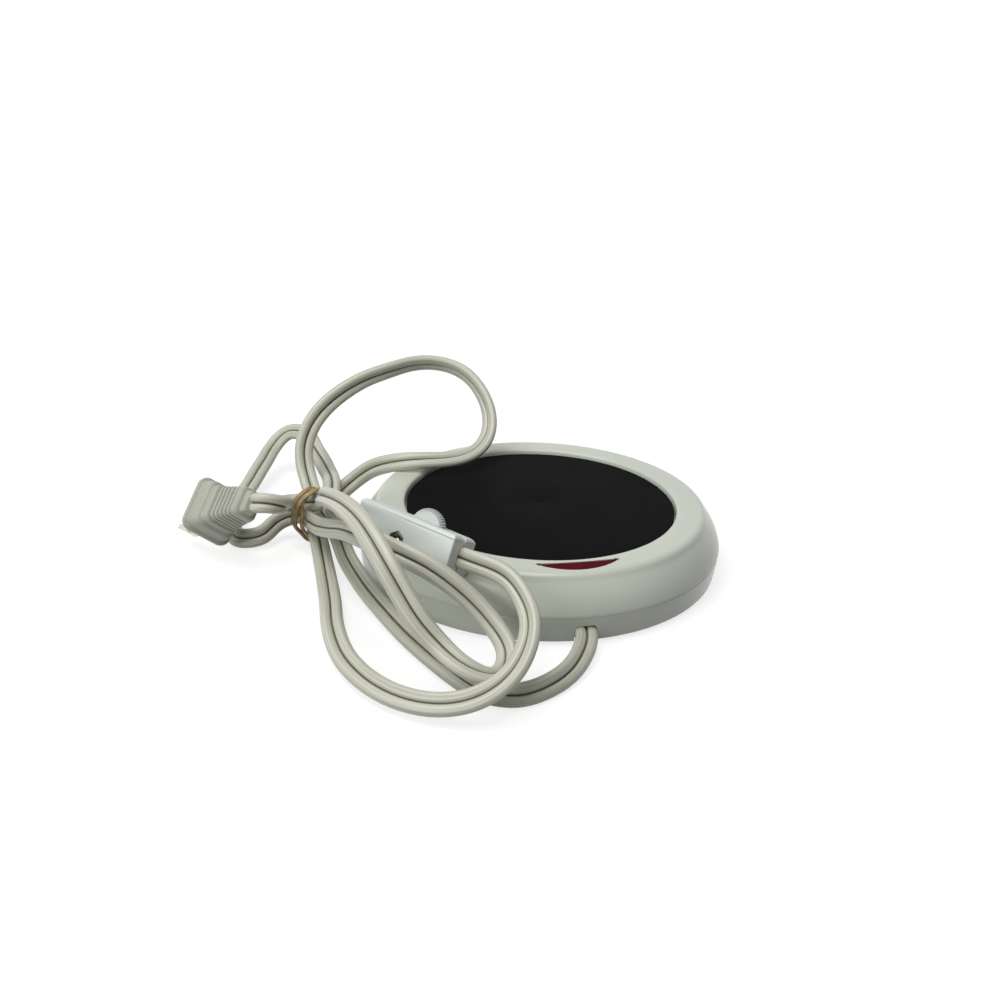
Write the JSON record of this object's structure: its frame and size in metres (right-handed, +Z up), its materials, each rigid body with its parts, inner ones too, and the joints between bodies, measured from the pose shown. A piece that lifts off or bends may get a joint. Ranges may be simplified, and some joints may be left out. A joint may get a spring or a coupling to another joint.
{
  "type": "candle warmer plate",
  "caption": "Low round electric warmer with a recessed dark hot plate, red indicator window, in-line thumbwheel switch and a tied flat mains cord with plug.",
  "frame": {"origin": "centre of the warmer's foot plane, on its upright axis", "axes": "+Z up out of the hot plate, -Y towards the indicator window and the cord exit, +X to the right seen from that side"},
  "size_m": [0.2076, 0.2144, 0.0587],
  "materials": {
    "shell_white_gloss": "gloss",
    "cover_white_satin": "satin",
    "plate_black_satin": "satin",
    "lens_dark_red": "gloss",
    "lamp_glass": "gloss",
    "zinc_steel": "satin",
    "aluminium_sheet": "satin",
    "nichrome_tape": "satin",
    "mica_sheet": "satin",
    "glass_fibre_pad": "matte",
    "brass": "satin",
    "tinned_copper": "satin",
    "foot_rubber_grey": "matte",
    "cord_vinyl_beige": "satin",
    "switch_pale_plastic": "satin",
    "wheel_pale_plastic": "satin",
    "darkened_steel": "satin",
    "plug_vinyl_grey": "satin",
    "rubber_band_tan": "matte",
    "lead_sleeve_white": "matte",
    "resistor_tan": "satin"
  },
  "bodies": {
    "warmer": {"top_housing": "shell_white_gloss", "indicator_lens": "lens_dark_red", "heating_plate": "plate_black_satin", "heating_element": "nichrome_tape", "mica_disc": "mica_sheet", "insulation_pad": "glass_fibre_pad", "heat_shield": "aluminium_sheet", "terminal_post_left": "tinned_copper", "terminal_post_right": "tinned_copper", "crimp_left": "tinned_copper", "crimp_right": "tinned_copper", "lead_left": "lead_sleeve_white", "lead_right": "lead_sleeve_white", "shield_screw_1": "zinc_steel", "shield_screw_2": "zinc_steel", "shield_screw_3": "zinc_steel", "thermal_fuse": "aluminium_sheet", "fuse_strap": "aluminium_sheet", "base_cover": "cover_white_satin", "housing_screw_1": "zinc_steel", "housing_screw_2": "zinc_steel", "housing_screw_3": "zinc_steel", "rubber_foot_1": "foot_rubber_grey", "rubber_foot_2": "foot_rubber_grey", "rubber_foot_3": "foot_rubber_grey", "rubber_foot_4": "foot_rubber_grey", "cord_clamp_bar": "cover_white_satin", "clamp_screw_left": "zinc_steel", "clamp_screw_right": "zinc_steel", "neon_lamp": "lamp_glass", "lamp_resistor": "resistor_tan", "cord_warmer_side": "cord_vinyl_beige", "cord_plug_side": "cord_vinyl_beige", "rubber_band": "rubber_band_tan", "switch_front_shell": "switch_pale_plastic", "switch_back_shell": "switch_pale_plastic", "switch_screw": "darkened_steel", "switch_nut": "darkened_steel", "switch_contact_in": "brass", "switch_contact_out": "brass", "plug_body": "plug_vinyl_grey", "plug_blade_wide": "brass", "plug_blade_narrow": "brass"},
    "thumbwheel": {"switch_thumbwheel": "wheel_pale_plastic"}
  },
  "joints": [
    {"name": "thumbwheel_spin", "type": "hinge", "parent": "warmer", "child": "thumbwheel", "pos_m": [-0.04999, -0.0431, 0.03366], "axis": [0.632, 0.5997, -0.4909], "continuous": true}
  ]
}
